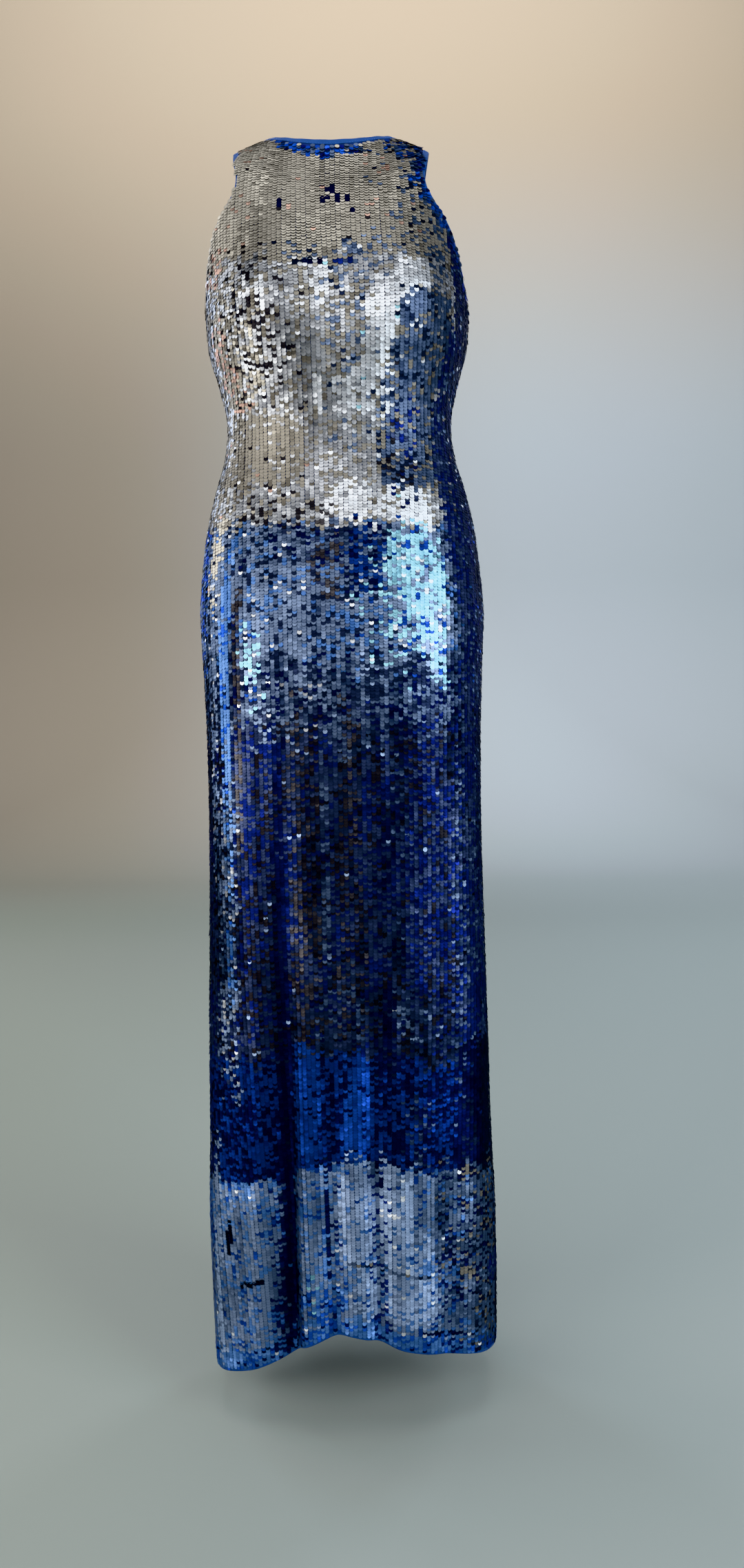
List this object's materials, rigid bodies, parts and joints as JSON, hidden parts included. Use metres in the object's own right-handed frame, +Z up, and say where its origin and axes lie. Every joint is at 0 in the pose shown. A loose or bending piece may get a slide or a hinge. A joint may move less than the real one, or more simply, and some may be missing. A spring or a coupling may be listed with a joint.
{
  "type": "evening gown",
  "caption": "Full-length column evening gown without sleeves, high round neck, cut-in armholes, side slits and a centre-back zip, hollow as worn.",
  "frame": {"origin": "midpoint between the tips of the two shoulders, on the line where the wearer's shoulders hold the gown up", "axes": "+Z up towards the neck, -Y out of the front of the gown, +X towards the wearer's left side"},
  "size_m": [0.3482, 0.2456, 1.421],
  "materials": {
    "sequin_cloth": "knitted blue cloth covered in silver and blue sequins sewn in upright rows, from mirror bright to brushed matt",
    "plain_cloth": "plain matt royal blue cloth",
    "zip_tape": "woven zip tape with a nylon coil, dark blue",
    "zip_metal": "polished silver-coloured metal, lightly worn"
  },
  "bodies": {
    "gown": {"front_panel": "sequin_cloth", "back_left_panel": "sequin_cloth", "back_right_panel": "sequin_cloth", "neck_binding": "plain_cloth", "armhole_binding_left": "plain_cloth", "armhole_binding_right": "plain_cloth", "front_hem_band": "plain_cloth", "back_left_hem_band": "plain_cloth", "back_right_hem_band": "plain_cloth", "slit_strip_front_left": "plain_cloth", "slit_strip_front_right": "plain_cloth", "slit_strip_back_left": "plain_cloth", "slit_strip_back_right": "plain_cloth", "zip_chain": "zip_tape", "zip_slider": "zip_metal"},
    "pull": {"zip_pull": "zip_metal"}
  },
  "joints": [
    {"name": "pull_tab_swing", "type": "hinge", "parent": "gown", "child": "pull", "pos_m": [-0.004, 0.07421, -0.01847], "axis": [1, 0, 0], "range_deg": [0, 140]}
  ]
}
